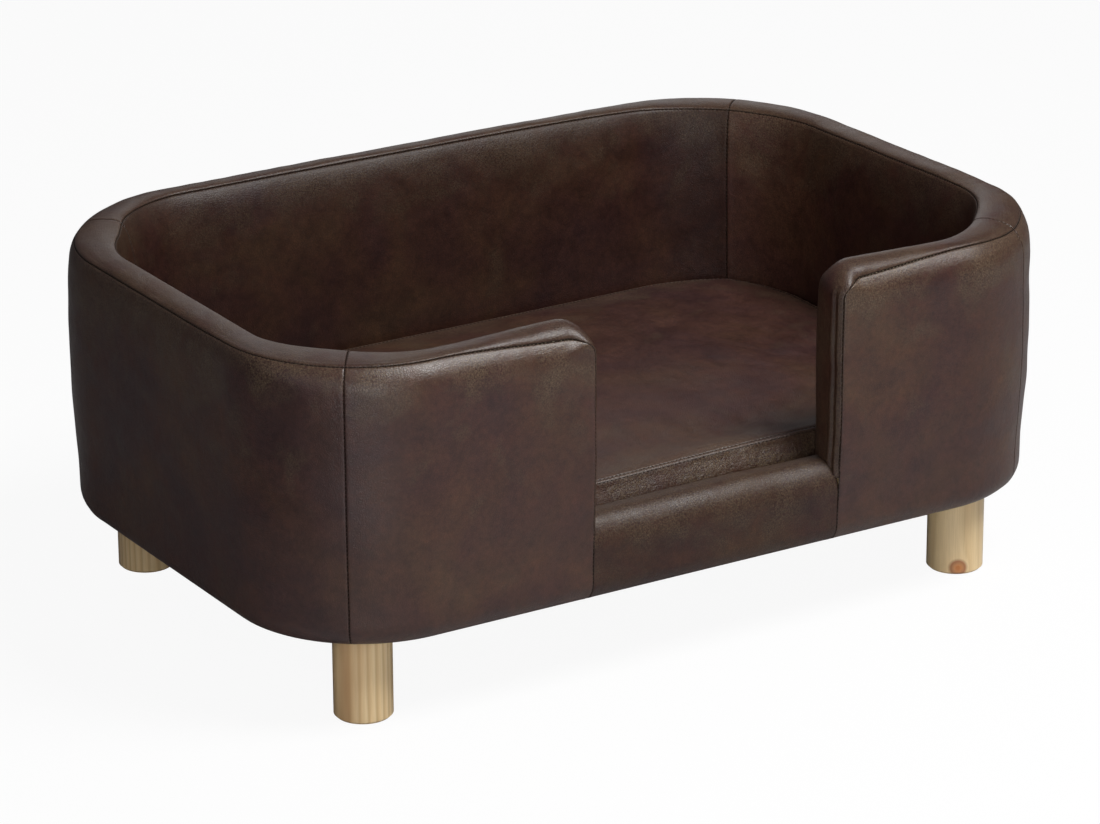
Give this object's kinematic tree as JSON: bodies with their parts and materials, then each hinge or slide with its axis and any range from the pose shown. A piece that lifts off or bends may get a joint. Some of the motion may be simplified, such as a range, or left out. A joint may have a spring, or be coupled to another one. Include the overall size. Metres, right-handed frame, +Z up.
{
  "type": "dog sofa bed",
  "caption": "Low tub shaped dog sofa with padded leather walls, a front way in over a low sill, a loose box cushion and round pine legs",
  "frame": {"origin": "on the floor under the middle of the bed's outline", "axes": "+X along the front towards the right arm as seen from the front, +Y from the way in towards the back wall, +Z up"},
  "size_m": [0.97, 0.645, 0.402],
  "materials": {
    "brown_leather": "dark brown faux leather, fine pebble grain, mottled, half gloss",
    "pine": "clear lacquered pine",
    "plywood": "raw plywood",
    "timber": "raw sawn softwood",
    "hardboard": "smooth hardboard",
    "foam": "open cell foam",
    "black_cloth": "black non-woven cloth",
    "zinc_steel": "zinc plated steel",
    "zip_plastic": "dark brown nylon",
    "zip_metal": "dark enamelled metal"
  },
  "bodies": {
    "sofa": {"base_board": "plywood", "leg_front_left": "pine", "leg_front_right": "pine", "leg_back_left": "pine", "leg_back_right": "pine", "hanger_bolts": "zinc_steel", "tee_nuts": "zinc_steel", "frame_screws": "zinc_steel", "wall_posts": "timber", "sill_rail": "timber", "top_rail_left": "plywood", "outer_board_left": "hardboard", "inner_board_left": "hardboard", "foam_left": "foam", "rim_band_left": "brown_leather", "outer_cover_left": "brown_leather", "inner_cover_left": "brown_leather", "top_rail_back": "plywood", "outer_board_back": "hardboard", "inner_board_back": "hardboard", "foam_back": "foam", "rim_band_back": "brown_leather", "outer_cover_back": "brown_leather", "inner_cover_back": "brown_leather", "top_rail_right": "plywood", "outer_board_right": "hardboard", "inner_board_right": "hardboard", "foam_right": "foam", "rim_band_right": "brown_leather", "outer_cover_right": "brown_leather", "inner_cover_right": "brown_leather", "top_rail_front_left": "plywood", "outer_board_front_left": "hardboard", "inner_board_front_left": "hardboard", "foam_front_left": "foam", "rim_band_front_left": "brown_leather", "outer_cover_front_left": "brown_leather", "inner_cover_front_left": "brown_leather", "top_rail_front_right": "plywood", "outer_board_front_right": "hardboard", "inner_board_front_right": "hardboard", "foam_front_right": "foam", "rim_band_front_right": "brown_leather", "outer_cover_front_right": "brown_leather", "inner_cover_front_right": "brown_leather", "foam_sill": "foam", "sill_cover": "brown_leather", "deck_lining": "black_cloth", "dust_cover": "black_cloth"},
    "cushion": {"cushion_core": "foam", "cushion_top": "brown_leather", "cushion_border": "brown_leather", "cushion_bottom": "brown_leather", "zip_tapes": "black_cloth", "zip_coil": "zip_plastic"},
    "zip_runner": {"zip_slider": "zip_metal", "zip_pull": "zip_metal"}
  },
  "joints": [
    {"name": "cushion_lift", "type": "slide", "parent": "sofa", "child": "cushion", "axis": [0, 0, 1], "range_m": [0, 0.3]},
    {"name": "zip_slide", "type": "slide", "parent": "cushion", "child": "zip_runner", "axis": [-1, 0, 0], "range_m": [0, 0.425]}
  ]
}
